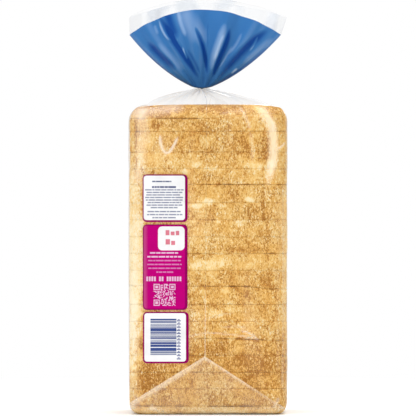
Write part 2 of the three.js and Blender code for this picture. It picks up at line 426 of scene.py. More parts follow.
def bake_and_painted_light_at(place):
    """How much darker, or paler below 0, the crust is at a point, as it was baked and where shade or
    highlight is painted in.
    """
    spot = Vector((place.x if place.y < 0 else -place.x, place.z))
    low = 1 - step_up(place.z, 35 * MM, 95 * MM)
    ragged = 0.4 * noise.noise(place * 150) + 0.3 * noise.noise(place * 380)
    bake_and_painted_light = 0.8 * low + 0.6 * noise.noise(place * 28) + 0.5 * noise.noise(place * 75)
    # painted highlight: the crust paler along its foot, where the rounded base edge turns down into shade
    bake_and_painted_light -= 1.3 * (1 - step_up(place.z, 4 * MM, 9 * MM))
    # painted shade: the crust darker along its top edge, where the overhead light falls full
    bake_and_painted_light += 0.6 * step_up(place.z, 246 * MM, 252 * MM)
    if abs(place.y) > BREAD_HALF_DEPTH - CORNER_RADIUS:
        for x, z, half_width, half_height, amount in BAKE_AND_LIGHT_PATCHES:
            off = math.hypot((spot.x / MM - x) / half_width, (spot.y / MM - z) / half_height)
            bake_and_painted_light += amount * (1 - step_up(off + ragged, 0.3, 1.1))
        for stroke in BAKE_AND_LIGHT_STROKES:
            bake_and_painted_light += stroke.strength(spot) * stroke.tint * (1 - 1.2 * ragged)
    return bake_and_painted_light


def slice_mesh(number, foot, head):
    """A slice between two joints: a wall of crust, a soft turn at each cut, and two flat faces."""
    draw = random.Random(100 + number)
    shift = Vector((draw.uniform(-1, 1), draw.uniform(-1, 1), 0)) * SLICE_SHIFT
    swell = draw.uniform(-1, 1) * SLICE_SHIFT
    middle = Vector(((BREAD_LEFT + BREAD_RIGHT) / 2, 0, 0)) + shift
    scale_x = ((BREAD_RIGHT - BREAD_LEFT) / 2 + swell) / HALF_WIDTH
    scale_y = (BREAD_HALF_DEPTH + swell) / HALF_DEPTH
    bm = bmesh.new()
    layer = bm.verts.layers.float.new("share")
    bake_and_painted_light = bm.verts.layers.float.new("bake_and_painted_light")
    bmesh.ops.create_circle(bm, radius=1, segments=CRUST_COLUMNS)
    ring = sorted(bm.verts, key=lambda v: math.atan2(v.co.y, v.co.x) % (2 * math.pi))
    for i, v in enumerate(ring):
        v[layer] = i / CRUST_COLUMNS
    rings = [ring]
    edges = bm.edges[:]
    for _ in range(CRUST_ROWS + 2 * len(CUT_INSETS)):
        grown = bmesh.ops.extrude_edge_only(bm, edges=edges)["geom"]
        edges = [g for g in grown if isinstance(g, bmesh.types.BMEdge)]
        verts = [g for g in grown if isinstance(g, bmesh.types.BMVert)]
        rings.append(sorted(verts, key=lambda v: v[layer]))
    for end, closing in ((0, rings[0]), (len(heights) - 2, rings[-1])):
        cut = bmesh.ops.contextual_create(bm, geom=closing)["faces"]
        cut[0].material_index = 0 if number == end else 1
    last = len(rings) - 1
    for row, verts in enumerate(rings):
        from_end = min(row, last - row)
        turn = CUT_INSETS[from_end] if from_end < len(CUT_INSETS) else 0
        rise = min(max((row - 1) / (last - 2), 0), 1)
        for v in verts:
            corner = girth(v[layer], 0)
            place = middle + Vector((corner.x * scale_x, corner.y * scale_y, 0))
            below, above = joint_gape(place, number), joint_gape(place, number + 1)
            open_share = 0.1 if from_end == 0 else 1
            low = foot + joint_lean(place.x, number) + below * open_share
            high = head + joint_lean(place.x, number + 1) - above * open_share
            place.z = blend(low, high, rise)
            if number == len(heights) - 2:
                place.z += rise * (CROWN - CROWN_DROP * (place.x / HALF_WIDTH) ** 4)
            v[bake_and_painted_light] = bake_and_painted_light_at(place)
            if from_end < len(CUT_INSETS):
                v[bake_and_painted_light] += JOINT_BROWN * (below if row < last / 2 else above) / MM
            outward = Vector((place.x, place.y * 1.1, 0)).normalized()
            v.co = place - outward * (edge_inset(place.z) + turn - crust_relief(place))
    bmesh.ops.recalc_face_normals(bm, faces=bm.faces)
    return bm


def shade_smooth(piece):
    """Every face of a piece shaded round."""
    for face in piece.data.polygons:
        face.use_smooth = True


def grain_node(nodes, links, scale, stretch, detail, worm=0.0):
    """A noise texture on Object coordinates, stretched along the axes and made wormy, as a value."""
    where = nodes.new("ShaderNodeTexCoord")
    squeeze = nodes.new("ShaderNodeMapping")
    squeeze.inputs["Scale"].default_value = stretch
    links.new(where.outputs["Object"], squeeze.inputs["Vector"])
    grain = nodes.new("ShaderNodeTexNoise")
    grain.inputs["Scale"].default_value = scale
    grain.inputs["Detail"].default_value = detail
    grain.inputs["Distortion"].default_value = worm
    links.new(squeeze.outputs["Vector"], grain.inputs["Vector"])
    return grain.outputs["Fac"]


def ramp_node(nodes, links, value, stops):
    """A value turned into colours, from [(position, colour), ...]."""
    colours = nodes.new("ShaderNodeValToRGB")
    band = colours.color_ramp
    while len(band.elements) < len(stops):
        band.elements.new(0.5)
    for element, (position, colour) in zip(band.elements, stops):
        element.position = position
        element.color = (*colour, 1)
    links.new(value, colours.inputs["Fac"])
    return colours.outputs["Color"]


def bump_node(nodes, links, height, distance, strength):
    """A height turned into small bumps of the surface."""
    bump = nodes.new("ShaderNodeBump")
    bump.inputs["Strength"].default_value = strength
    bump.inputs["Distance"].default_value = distance
    links.new(height, bump.inputs["Height"])
    return bump.outputs["Normal"]


def weigh_node(nodes, links, value, weight, base):
    """A value times a weight, plus a base. Each of those two is a number or another value."""
    sum_node = nodes.new("ShaderNodeMath")
    sum_node.operation = "MULTIPLY_ADD"
    links.new(value, sum_node.inputs[0])
    for socket, part in ((sum_node.inputs[1], weight), (sum_node.inputs[2], base)):
        if isinstance(part, float):
            socket.default_value = part
        else:
            links.new(part, socket)
    return sum_node.outputs["Value"]


def attribute_node(nodes, name):
    """A number that the mesh carries at each of its points."""
    attribute = nodes.new("ShaderNodeAttribute")
    attribute.attribute_name = name
    return attribute.outputs["Fac"]


def pebble_node(nodes, links, scale, stretch, worm):
    """How far a point lies from the edges of small uneven pebbles, on Object coordinates."""
    where = nodes.new("ShaderNodeTexCoord")
    squeeze = nodes.new("ShaderNodeMapping")
    squeeze.inputs["Scale"].default_value = stretch
    links.new(where.outputs["Object"], squeeze.inputs["Vector"])
    wander = nodes.new("ShaderNodeTexNoise")
    wander.inputs["Scale"].default_value = scale
    links.new(squeeze.outputs["Vector"], wander.inputs["Vector"])
    bend = nodes.new("ShaderNodeVectorMath")
    bend.operation = "MULTIPLY_ADD"
    links.new(wander.outputs["Color"], bend.inputs[0])
    bend.inputs[1].default_value = (worm, worm, worm)
    links.new(squeeze.outputs["Vector"], bend.inputs[2])
    pebbles = nodes.new("ShaderNodeTexVoronoi")
    pebbles.feature = "DISTANCE_TO_EDGE"
    pebbles.inputs["Scale"].default_value = scale
    links.new(bend.outputs["Vector"], pebbles.inputs["Vector"])
    return pebbles.outputs["Distance"]


def crust_paint():
    """Golden crust: darker or paler as it was baked and where light or shade is painted in, mottled, and in
    some patches rougher than in others with pebbles, streaks and flecks."""
    material, nodes, links, output = new_material("crust")
    shader = nodes.new("ShaderNodeBsdfPrincipled")
    mottle = grain_node(nodes, links, 120, (1, 1, 0.8), 3, 0.8)
    streak = grain_node(nodes, links, 520, (1, 1, 0.4), 1, 1.4)
    fleck = grain_node(nodes, links, 1150, (1, 1, 0.55), 1, 1.2)
    pebble = pebble_node(nodes, links, 450, (1, 1, 0.6), 1.2 * MM)
    patch = grain_node(nodes, links, 60, (1, 1, 1), 2, 0.5)
    bake_and_painted_light = attribute_node(nodes, "bake_and_painted_light")
    rough = weigh_node(nodes, links, patch, 1.8, weigh_node(nodes, links, bake_and_painted_light, 0.12, -0.1))
    grain = weigh_node(nodes, links, pebble, 0.3, -0.92)
    for texture, weight in ((streak, 0.56), (fleck, 1.16)):
        grain = weigh_node(nodes, links, texture, weight, grain)
    tone = weigh_node(nodes, links, mottle, 0.33, weigh_node(nodes, links, bake_and_painted_light, -0.08, 0.297))
    tone = weigh_node(nodes, links, grain, rough, tone)
    browns = [(0.22, CRUST_DARK), (0.37, CRUST_DEEP), (0.5, CRUST_GOLD)]
    stops = browns + [(0.62, CRUST_PALE), (0.76, CRUST_CREAM)]
    links.new(ramp_node(nodes, links, tone, stops), shader.inputs["Base Color"])
    shader.inputs["Roughness"].default_value = 0.75
    shader.inputs["Specular IOR Level"].default_value = 0.1
    links.new(bump_node(nodes, links, tone, 1.2 * MM, 0.6), shader.inputs["Normal"])
    links.new(shader.outputs["BSDF"], output.inputs["Surface"])
    return material


def crumb_paint():
    """The white inside of the bread, open-pored, on the cut faces."""
    material, nodes, links, output = new_material("crumb")
    shader = nodes.new("ShaderNodeBsdfPrincipled")
    pores = grain_node(nodes, links, 500, (1, 1, 1), 3)
    stops = [(0.35, (0.72, 0.6, 0.42)), (0.55, (0.86, 0.79, 0.64))]
    links.new(ramp_node(nodes, links, pores, stops), shader.inputs["Base Color"])
    shader.inputs["Roughness"].default_value = 0.9
    links.new(bump_node(nodes, links, pores, 0.6 * MM, 0.8), shader.inputs["Normal"])
    links.new(shader.outputs["BSDF"], output.inputs["Surface"])
    return material


crust, crumb = crust_paint(), crumb_paint()
heights = joint_heights()
for number, (foot, head) in enumerate(zip(heights, heights[1:])):
    bread = link_mesh(slice_mesh(number, foot, head), f"slice_{number + 1:02d}")
    shade_smooth(bread)
    bread.data.materials.append(crust)
    bread.data.materials.append(crumb)
    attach(bread, "root")

# Film of the bag
# One tube of thin clear polythene, welded flat across the base and drawn over the loaf. It lies tight on
# front and back, stands a little off the two sides, and is creased and milky where it folds or doubles.
FILM_COLUMNS = 348
FILM_STEPS = [5, 6, 190, 10, 20, 3]  # how many rings each run of the film has, from base to neck
WELD = 0.005 * MM  # points closer than this are one
FRONT_FINER = 0.3  # how much closer than the mean the columns are at the middle of front and back
SHOULDER_CURVE = 0.6  # power of the rise from the loaf's top to the neck, which makes it domed
RIM_GLOSS = 2.0  # how many times its gloss is added where the film is seen edge on


def shoulder_point(share, inward):
    """The film from the loaf's top edge in to the neck, with radial pleats."""
    edge = girth(share, TOP_EDGE_DEPTH)
    angle = share * 2 * math.pi
    neck = NECK + Vector((NECK_HALF_WIDTH * math.cos(angle), NECK_HALF_DEPTH * math.sin(angle), 0))
    place = blend(edge, neck, inward)
    pleat = 0.3 * MM * pleat_wave(share) * math.sin(math.pi * inward)
    place.z = blend(PACK_TOP, NECK.z - NECK_FREE, inward**SHOULDER_CURVE) + pleat
    return place


def film_point(share, run):
    """A point of the smooth film. run is 0 to 1 across the base, to 2 round its edge, to 3 up the side,
    to 4 round the top edge, to 5 up the shoulder, and to 6 across the inside of the neck."""
    part = min(int(run), 5)
    along = run - part
    turn = along * math.pi / 2
    if part == 0:
        return girth(share, BASE_EDGE) * along
    if part == 4:
        return shoulder_point(share, along)
    if part == 5:
        return blend(shoulder_point(share, 1), NECK + Vector((0, 0, MM)), along)
    if part == 1:
        z = BASE_EDGE * (1 - math.cos(turn))
    elif part == 2:
        z = blend(BASE_EDGE, PACK_TOP - TOP_EDGE_RISE, along)
    else:
        z = PACK_TOP - TOP_EDGE_RISE + TOP_EDGE_RISE * math.sin(turn)
    place = girth(share, edge_inset(z))
    place.z = z
    return place


def film_runs():
    """The run of each ring of the film, closer together where it bends."""
    rings = [0]
    for part, steps in enumerate(FILM_STEPS):
        rings += [part + (i + 1) / steps for i in range(steps)]
    return rings


# Creases of the film on the seam side and its back. Most are milky creases and doubled film; some are painted
# highlights, marked below.
FACE_STROKES = [
    Stroke([(-39.5, 230), (-38.6, 221), (-35.5, 215), (-32, 215), (-29, 219), (-24.5, 228)],
           1.8, 0.4, 0.6, 3),
    # partly painted highlight: the sweeping fold at the upper right, milky where it catches the light
    Stroke([(40.8, 256), (46.5, 247), (50.4, 241), (52.5, 235), (53.8, 221), (53, 208), (49, 188)],
           6, 0.4, 0.42, 2),
    Stroke([(47, 249), (52, 241), (55, 233)], 2.2, 0.3, 0.14, 2),
    Stroke([(25.5, 253.5), (31, 245), (34.6, 234)], 1.3, 0.3, 0.3, 2),
    Stroke([(34, 233), (36.5, 222), (36, 206)], 2.2, 0.2, 0.14),
    Stroke([(-70, 247), (-46, 249.5), (-23, 253)], 8.5, 0.1, 0.26, 3),
    Stroke([(-57, 256), (-55, 235), (-56.5, 190)], 7.5, 0.1, 0.2, 3),
    Stroke([(-54, 250), (-50, 238), (-49, 222)], 4, 0.1, 0.12, 2),
    # painted highlight: a milky band down the left corner, where the film reflects the key light
    Stroke([(-60.5, 205), (-60, 160), (-59.5, 110), (-60.5, 45)], 7, 0.2, 0.14, 3),
    Stroke([(-17, 64), (-2.3, 67.6), (22.3, 65.8), (39, 62.5)], 1.1, 0.2, 0.28, 2),
    Stroke([(26, 69.5), (34, 67.5), (41.5, 61.5)], 1.1, 0.2, 0.4, 1.6),
    Stroke([(11, 72), (24, 73), (31, 71)], 1.1, 0.2, 0.2, 2),
    Stroke([(-6, 77), (8, 82), (22, 84)], 1.2, 0.2, 0.14),
    Stroke([(57, 218), (60, 220), (63, 223)], 1.2, 0.5, 0.5, 2),
    Stroke([(58, 14), (56, 10), (54, 6)], 2.2, 0.2, 0.3),
    Stroke([(-49, 5), (-42, 4.5), (-35, 2.5)], 1.6, 0.2, 0.4, 2),
    Stroke([(-47, 8), (-40, 2)], 1.5, 0.2, 0.3, 2),
    Stroke([(-44, 24), (-42.5, 18), (-43, 11)], 1.8, 0.1, 0.14, 2),
    Stroke([(-36, 27), (-35, 20)], 1.3, 0.1, 0.12, 2),
    Stroke([(-60, 16), (-57, 9)], 2.2, 0.1, 0.16),
    Stroke([(8, 246), (20, 249), (34, 248)], 2, 0.2, 0.12),
    # painted highlight: a milky line down the film's edge at the right corner
    Stroke([(61.6, 190), (61.9, 130), (61.8, 60), (61.2, 22)], 1.5, 0.1, 0.2, 3),
    Stroke([(57.4, 122), (58, 84), (57, 34)], 1.6, 0.1, 0.08, 2),
]


SIDE_STROKES = [  # the same on the two sides without a seam, where x runs from the front to the back
    Stroke([(-46, 252), (-42, 236), (-45, 214), (-44, 196)], 5, 0.3, 0.24, 2),
    Stroke([(30, 254), (38, 243), (41, 226), (38, 205)], 4, 0.4, 0.3, 2),
    Stroke([(-20, 253), (-14, 240), (-12, 222)], 1.6, 0.4, 0.3, 2),
    Stroke([(6, 250), (10, 238), (22, 231)], 1.4, 0.3, 0.28, 2),
    Stroke([(-30, 172), (-8, 176), (14, 171)], 1.4, 0.3, 0.26, 2),
    Stroke([(45, 180), (46, 140), (44, 96)], 5, 0.2, 0.16, 2),
    Stroke([(-48, 150), (-47, 110), (-48, 66)], 4, 0.2, 0.16, 2),
    Stroke([(-6, 122), (12, 112), (16, 98)], 1.2, 0.3, 0.24, 2),
    Stroke([(-56, 4), (-30, 22), (-4, 30)], 1.8, 0.4, 0.3, 2),
    Stroke([(56, 4), (34, 19), (6, 27)], 1.8, 0.4, 0.3, 2),
    Stroke([(-20, 3), (-12, 12), (-10, 24)], 1.3, 0.3, 0.24, 2),
    Stroke([(24, 3), (20, 11), (12, 17)], 1.2, 0.3, 0.24, 2),
]


def face_strokes(place):
    """Lift and milkiness that the strokes of the nearest side give at a point."""
    if abs(place.y) > HALF_DEPTH - CORNER_RADIUS:
        spot, strokes = Vector((place.x if place.y < 0 else -place.x, place.z)), FACE_STROKES
    else:
        spot, strokes = Vector((place.y if place.x > 0 else -place.y, place.z)), SIDE_STROKES
    lift, clear = 0.0, 1.0
    for stroke in strokes:
        strength = stroke.strength(spot)
        lift += strength * stroke.lift
        clear *= 1 - strength * stroke.tint
    return lift, 1 - clear


def film_relief(place):
    """How far the film stands off its smooth form at a point, and how milky it is there."""
    lift, haze = face_strokes(place)
    tight = 1 - 0.6 * step_up(abs(place.x), HALF_WIDTH - 4 * MM, HALF_WIDTH)
    slack = noise.noise(Vector((place.x * 30, place.y * 30, place.z * 12))) * 0.22 * MM * tight
    crinkle = noise.noise(Vector((place.x * 110, place.y * 110, place.z * 40))) * 0.12 * MM
    for joint in heights[1:-1]:
        off = (place.z - joint) / (1.8 * MM)
        if abs(off) < 2:
            slack -= 0.3 * MM * tight * math.exp(-off * off)
    streak = noise.noise(Vector((place.x * 60, place.y * 60, place.z * 9)))
    veil = noise.noise(Vector((place.x * 25, place.y * 25, place.z * 18 + 7)))
    haze *= 1 + 0.5 * streak
    haze = 1 - (1 - haze) * (1 - 0.1 * step_up(streak, 0.2, 0.7)) * (1 - 0.05 * step_up(veil, 0.1, 0.6))
    corner = step_up(abs(place.y), HALF_DEPTH - CORNER_RADIUS - 6 * MM, HALF_DEPTH - CORNER_RADIUS + 2 * MM)
    side = corner * step_up(abs(place.x), HALF_WIDTH - 2.5 * MM, HALF_WIDTH)
    # painted highlight: the film milky along the foot, where the base edge turns down into shade
    foot = 1 - step_up(place.z, 3 * MM, 8 * MM)
    return lift + slack + crinkle, max(haze, 0.2 * side, 0.16 * foot)


def shoulder_haze(share, inward):
    """Milky rays where the pleats of the shoulder double the film, most at the neck, front and back."""
    ray = 0.5 + 0.5 * noise.noise(Vector((share * 60, 3.1, inward * 1.5)))
    fine = 0.5 + 0.5 * noise.noise(Vector((share * 150, 8.2, inward * 2)))
    rays = 0.3 * step_up(ray, 0.4, 0.75) * (0.3 + 0.7 * inward) + 0.14 * step_up(fine, 0.4, 0.8) * inward
    aside = step_up(abs(math.cos(share * 2 * math.pi)), 0.3, 1)
    return 0.04 + (rays + 0.18 * inward) * (1 - 0.75 * aside)


def film_mesh():
    """The film as a grid, wrapped round the loaf and closed at its seam, its base and its neck."""
    runs = film_runs()
    bm = bmesh.new()
    milky = bm.verts.layers.float.new("haze")
    bmesh.ops.create_grid(bm, x_segments=FILM_COLUMNS, y_segments=len(runs) - 1, size=0.5)
    for v in bm.verts:
        share = v.co.x + 0.5 + FRONT_FINER * math.sin(4 * math.pi * (v.co.x + 0.5)) / (4 * math.pi)
        run = runs[round((v.co.y + 0.5) * (len(runs) - 1))]
        place = film_point(share, run)
        if 1 <= run <= 4:
            lift, v[milky] = film_relief(place)
            place += (girth(share, 0) - girth(share, MM)).normalized() * lift
        elif run > 4:
            v[milky] = shoulder_haze(share, min(run - 4, 1))
        else:
            v[milky] = 0.12
        v.co = place
    for face in bm.faces:
        face.material_index = 1 if min(v.co.z for v in face.verts) > PACK_TOP - 0.1 * MM else 0
    bmesh.ops.remove_doubles(bm, verts=bm.verts, dist=WELD)
    bmesh.ops.recalc_face_normals(bm, faces=bm.faces)
    return bm


def film_paint(name, colour, gloss):
    """Clear glossy film: see-through except where it is milky, with reflections over it that grow with
    the slant, and grow fastest at the rim. gloss is how strong they are."""
    material, nodes, links, output = new_material(name)
    shader = nodes.new("ShaderNodeBsdfPrincipled")
    shader.inputs["Base Color"].default_value = (*colour, 1)
    shader.inputs["Roughness"].default_value = 0.16
    crinkle = grain_node(nodes, links, 130, (1, 1, 0.45), 2)
    creased = bump_node(nodes, links, crinkle, 0.5 * MM, 0.35)
    links.new(creased, shader.inputs["Normal"])
    clear = nodes.new("ShaderNodeBsdfTransparent")
    film = nodes.new("ShaderNodeMixShader")
    links.new(attribute_node(nodes, "haze"), film.inputs["Fac"])
    links.new(clear.outputs["BSDF"], film.inputs[1])
    links.new(shader.outputs["BSDF"], film.inputs[2])
    shine = nodes.new("ShaderNodeBsdfGlossy")
    shine.inputs["Roughness"].default_value = 0.14
    links.new(creased, shine.inputs["Normal"])
    slant = nodes.new("ShaderNodeFresnel")
    slant.inputs["IOR"].default_value = 1.45
    links.new(creased, slant.inputs["Normal"])
    glossy = nodes.new("ShaderNodeMixShader")
    share = nodes.new("ShaderNodeMath")
    share.operation = "MULTIPLY"
    links.new(slant.outputs["Fac"], share.inputs[0])
    shine_there = weigh_node(nodes, links, slant.outputs["Fac"], RIM_GLOSS * gloss, gloss)
    links.new(shine_there, share.inputs[1])
    links.new(share.outputs["Value"], glossy.inputs["Fac"])
    links.new(film.outputs["Shader"], glossy.inputs[1])
    links.new(shine.outputs["BSDF"], glossy.inputs[2])
    links.new(glossy.outputs["Shader"], output.inputs["Surface"])
    return material


clear_film = film_paint("clear_film", (1, 0.94, 0.8), 0.13)
# The gathered film's grey-blue is painted shade: the film is darkened so that its folds read grey against the
# white tent.
gathered_film = film_paint("gathered_film", (0.58, 0.65, 0.73), 0.02)
film = link_mesh(film_mesh(), "bag_film")
shade_smooth(film)
film.data.materials.append(clear_film)
film.data.materials.append(gathered_film)
film.visible_shadow = False
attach(film, "root")
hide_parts("bag")

# Ears and side seams
# The base of the tube folds up on each seam side as a flat triangle of doubled film, held by its own
# weld. From its tip a narrow welded seam runs up the side and over the shoulder to the neck.
EAR_TIP = Vector((-2.7, 48.2)) * MM
EAR_FEET = [Vector((-63.5, 10.5)) * MM, Vector((62.5, 6)) * MM]
EAR_FOLD = 4.5 * MM  # the height of the fold that the ear hangs from
EAR_PROUD = 0.5 * MM
EAR_STEP = 1.5 * MM
SEAM_HALF_WIDTH = 0.4 * MM
SEAM_PROUD = 0.08 * MM
FLAP_GAP = 0.3 * MM  # how far ears and seams lie off the film
FLAP_THICKNESS = 0.12 * MM
SEAM_HEAD_X = -1.2 * MM
SEAM_CREASED = 104 * MM  # up to this height the seam is creased milky


def front_point(x, z, proud):
    """The point of the front film at x and z, lifted off it, round the upright corners too."""
    inset = edge_inset(z)
    radius = CORNER_RADIUS - 0.4 * inset
    flat = HALF_WIDTH - inset - radius
    over = min(max(abs(x) - flat, 0), radius)
    y = -(HALF_DEPTH - inset - radius) - math.sqrt(max(radius**2 - over**2, 0))
    lift, _ = film_relief(Vector((x, y, z)))
    outward = Vector((math.copysign(over, x), y + HALF_DEPTH - inset - radius, 0)).normalized()
    return Vector((x, y, z)) + outward * (lift + proud)


def ear_mesh():
    """A triangle of doubled film laid on the front, milkier along its two free edges."""
    bm = bmesh.new()
    milky = bm.verts.layers.float.new("haze")
    left, right = EAR_FEET
    columns = round((right.x - left.x) / EAR_STEP)
    rows = round((EAR_TIP.y - EAR_FOLD) / EAR_STEP)
    bmesh.ops.create_grid(bm, x_segments=columns, y_segments=rows, size=0.5)
    for v in bm.verts:
        x, z = blend(left.x, right.x, v.co.x + 0.5), blend(EAR_FOLD, EAR_TIP.y, v.co.y + 0.5)
        v.co = (x, 0, z)
    tip = Vector((EAR_TIP.x, 0, EAR_TIP.y))
    legs = []
    for foot, hand in zip(EAR_FEET, (-1, 1)):
        leg = Vector((foot.x, 0, foot.y)) - tip
        normal = Vector((leg.z, 0, -leg.x)) * hand
        legs.append((tip, normal.normalized()))
        everything = bm.verts[:] + bm.edges[:] + bm.faces[:]
        bmesh.ops.bisect_plane(
            bm, geom=everything, plane_co=tip, plane_no=-normal, clear_outer=True, dist=0.01 * MM
        )
    for v in bm.verts:
        from_leg = min(abs((v.co - point).dot(normal)) for point, normal in legs)
        wide = blend(5.5, 2.6, step_up(v.co.x, -20 * MM, 5 * MM)) * MM
        edge = (1 - step_up(from_leg, 0.3 * wide, wide)) * (1 - 0.6 * step_up(v.co.x, 25 * MM, 45 * MM))
        streak = noise.noise(Vector((v.co.x * 260, 0, v.co.z * 40)))
        v[milky] = 0.05 + 0.26 * edge * (1 + 0.6 * streak) + 0.05 * noise.noise(v.co * 60)
        v.co = front_point(v.co.x, v.co.z, EAR_PROUD * step_up(from_leg, -0.5 * MM, 2.5 * MM) + FLAP_GAP)
    return bm


def seam_mesh():
    """A flat bead along the film's front middle, from the ear's tip to the neck."""
    perimeter = 4 * (HALF_WIDTH + HALF_DEPTH - 2 * CORNER_RADIUS + CORNER_RADIUS * math.pi / 2)
    first = 2 + (EAR_TIP.y - BASE_EDGE - 3 * MM) / (PACK_TOP - TOP_EDGE_RISE - BASE_EDGE)
    runs = [blend(first, 3, i / 120) for i in range(120)] + [3 + i / 8 for i in range(16)]
    bm = bmesh.new()
    milky = bm.verts.layers.float.new("haze")
    bmesh.ops.create_grid(bm, x_segments=2, y_segments=len(runs) - 1, size=0.5)
    for v in bm.verts:
        run = runs[round((v.co.y + 0.5) * (len(runs) - 1))]
        x = blend(EAR_TIP.x, SEAM_HEAD_X, min(run - 2, 1)) + v.co.x * 2 * SEAM_HALF_WIDTH
        share = 0.75 + x / perimeter
        place = film_point(share, run)
        lift = film_relief(place)[0] if run < 4 else 0
        middle = 1 - 2 * abs(v.co.x)
        out = Vector((0, -1, 0)) if run < 3 else Vector((0, -0.3, 1)).normalized()
        creased = 1 - step_up(place.z, SEAM_CREASED - 14 * MM, SEAM_CREASED)
        v[milky] = 0.03 + 0.2 * creased * (1 + 0.5 * noise.noise(Vector((0, 0, place.z * 60))))
        v.co = place + out * (lift + FLAP_GAP + SEAM_PROUD * middle)
    return bm


flap_film = film_paint("flap_film", (0.98, 0.85, 0.64), 0.08)
for side, turn in (("front", 0), ("back", math.pi)):
    for kind, shape in (("ear", ear_mesh), ("seam", seam_mesh)):
        bm = shape()
        bmesh.ops.rotate(bm, cent=(0, 0, 0), matrix=Matrix.Rotation(turn, 3, "Z"), verts=bm.verts)
        flap = link_mesh(bm, f"{kind}_{side}")
        shade_smooth(flap)
        flap.data.materials.append(flap_film)
        flap.visible_shadow = False
        doubled = flap.modifiers.new("doubled film", "SOLIDIFY")
        doubled.thickness = FLAP_THICKNESS
        doubled.offset = -1
        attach(flap, "root")
        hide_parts("bag")

# Tail of the bag
# Above the neck the tube opens again as a pleated bowl. Its film is printed solid blue up to a clean
# edge, and the last centimetre up to the cut mouth is clear.
TAIL_REACH_LEFT = 51.8 * MM
TAIL_REACH_RIGHT = 57.1 * MM
TAIL_REACH_DEPTH = 24 * MM
TAIL_HEIGHT_SIDE = 43 * MM
TAIL_HEIGHT_FRONT = 62.8 * MM
TAIL_BOW_SIDE = 0.45  # how much lower than a straight line the tail runs out to its two ends
TAIL_BOW_FRONT = 0.15  # and to its front and back
TAIL_FLARE = 1.6  # power of the way it opens from front to back: above 1 it opens early
RIM_SHARE = 0.14  # length of the clear rim, as a share of the printed part
RIM_HEIGHT_SIDE = 15 * MM
RIM_HEIGHT_FRONT = 9 * MM
RIM_REACH_LEFT = 0.5 * MM
RIM_REACH_RIGHT = 5.2 * MM
RIM_REACH_DEPTH = 2 * MM
TAIL_COLUMNS = 400
PRINT_ROWS = 62
RIM_ROWS = 7
TAIL_THICKNESS = 0.2 * MM
PRINT_BLUE = (0.042, 0.176, 0.445)
PRINT_FOLD_SHADE = (0.005, 0.058, 0.285)
PRINT_FOLD_HIGHLIGHT = (0.34, 0.5, 0.76)

# Folds of the tail, x and z in millimetres seen from the front: a fold sinks or lifts the film, and its tint
# paints shade into the print along it, below 0, or a highlight, above 0.
TAIL_FOLDS = [
    Stroke([(-50, 307), (-40, 296.5), (-27, 285)], 4.2, -0.7, -0.85, 1.25),
    Stroke([(-41, 329), (-31, 312), (-25, 303), (-17, 292), (-8, 278)], 4, -1.1, -1.2, 1.25),
    Stroke([(-34, 332), (-31, 321.5), (-26.5, 311)], 5.5, -0.5, -0.8, 1.25),
    Stroke([(-10.5, 319), (-5.8, 309), (-2.4, 297), (-0.6, 281)], 2.6, -0.9, -1.1, 1.25),
    Stroke([(-17, 301), (-11, 291), (-6.5, 281)], 1.8, -0.4, -0.5, 1.25),
    Stroke([(18, 318), (16, 307), (9, 293), (4, 279)], 3, -0.9, -1.1, 1.25),
    Stroke([(49, 316.5), (41, 311), (29, 300), (18, 289), (8, 277)], 5, -1.1, -0.95, 1.25),
    Stroke([(50.5, 304), (32, 286), (13, 277)], 2.6, -0.4, -0.55),
    Stroke([(-24.8, 333), (-22.8, 323), (-18.5, 312)], 2.4, 0.7, 0.45, 1.6),
    Stroke([(-40.5, 326), (-38.6, 318), (-34, 310.5), (-30, 308.5)], 1.4, 0.5, 0.65, 1.25),
    Stroke([(-44, 321), (-41.5, 314)], 2, 0.4, 0.3),
    Stroke([(-21, 303), (-19.6, 298), (-17, 292.5)], 1.1, 0.5, 1.0, 1.25),
    Stroke([(-29, 315), (-23, 304), (-17, 294.5)], 0.8, 0.2, 0.4, 1.25),
    Stroke([(14, 322), (11, 312), (6.5, 300), (2.6, 283)], 5, 0.8, 0.55, 1.2),
    Stroke([(13, 313), (9, 304), (5, 292)], 2, 0.3, 0.4, 1.5),
    Stroke([(42, 312), (39, 306), (34, 299.5)], 1.2, 0.5, 0.75, 1.25),
    Stroke([(28, 315), (24, 306), (17, 297)], 1.8, 0.5, 0.32, 1.25),
    Stroke([(20, 304), (14, 294), (9, 286)], 1.4, 0.4, 0.3),
    Stroke([(24, 285.5), (19.5, 281)], 1.6, 0.3, 0.85),
    Stroke([(-20, 333), (-13, 321), (-5, 309)], 11, 0.3, 0.4, 1.5),
    Stroke([(-41, 306), (-20, 284)], 4, 0.5, 0.2),
    Stroke([(54, 311), (29, 290)], 3.4, 0.5, 0.22),
    Stroke([(-0.3, 324), (-0.2, 302)], 0.8, 0.2, -0.3),
]


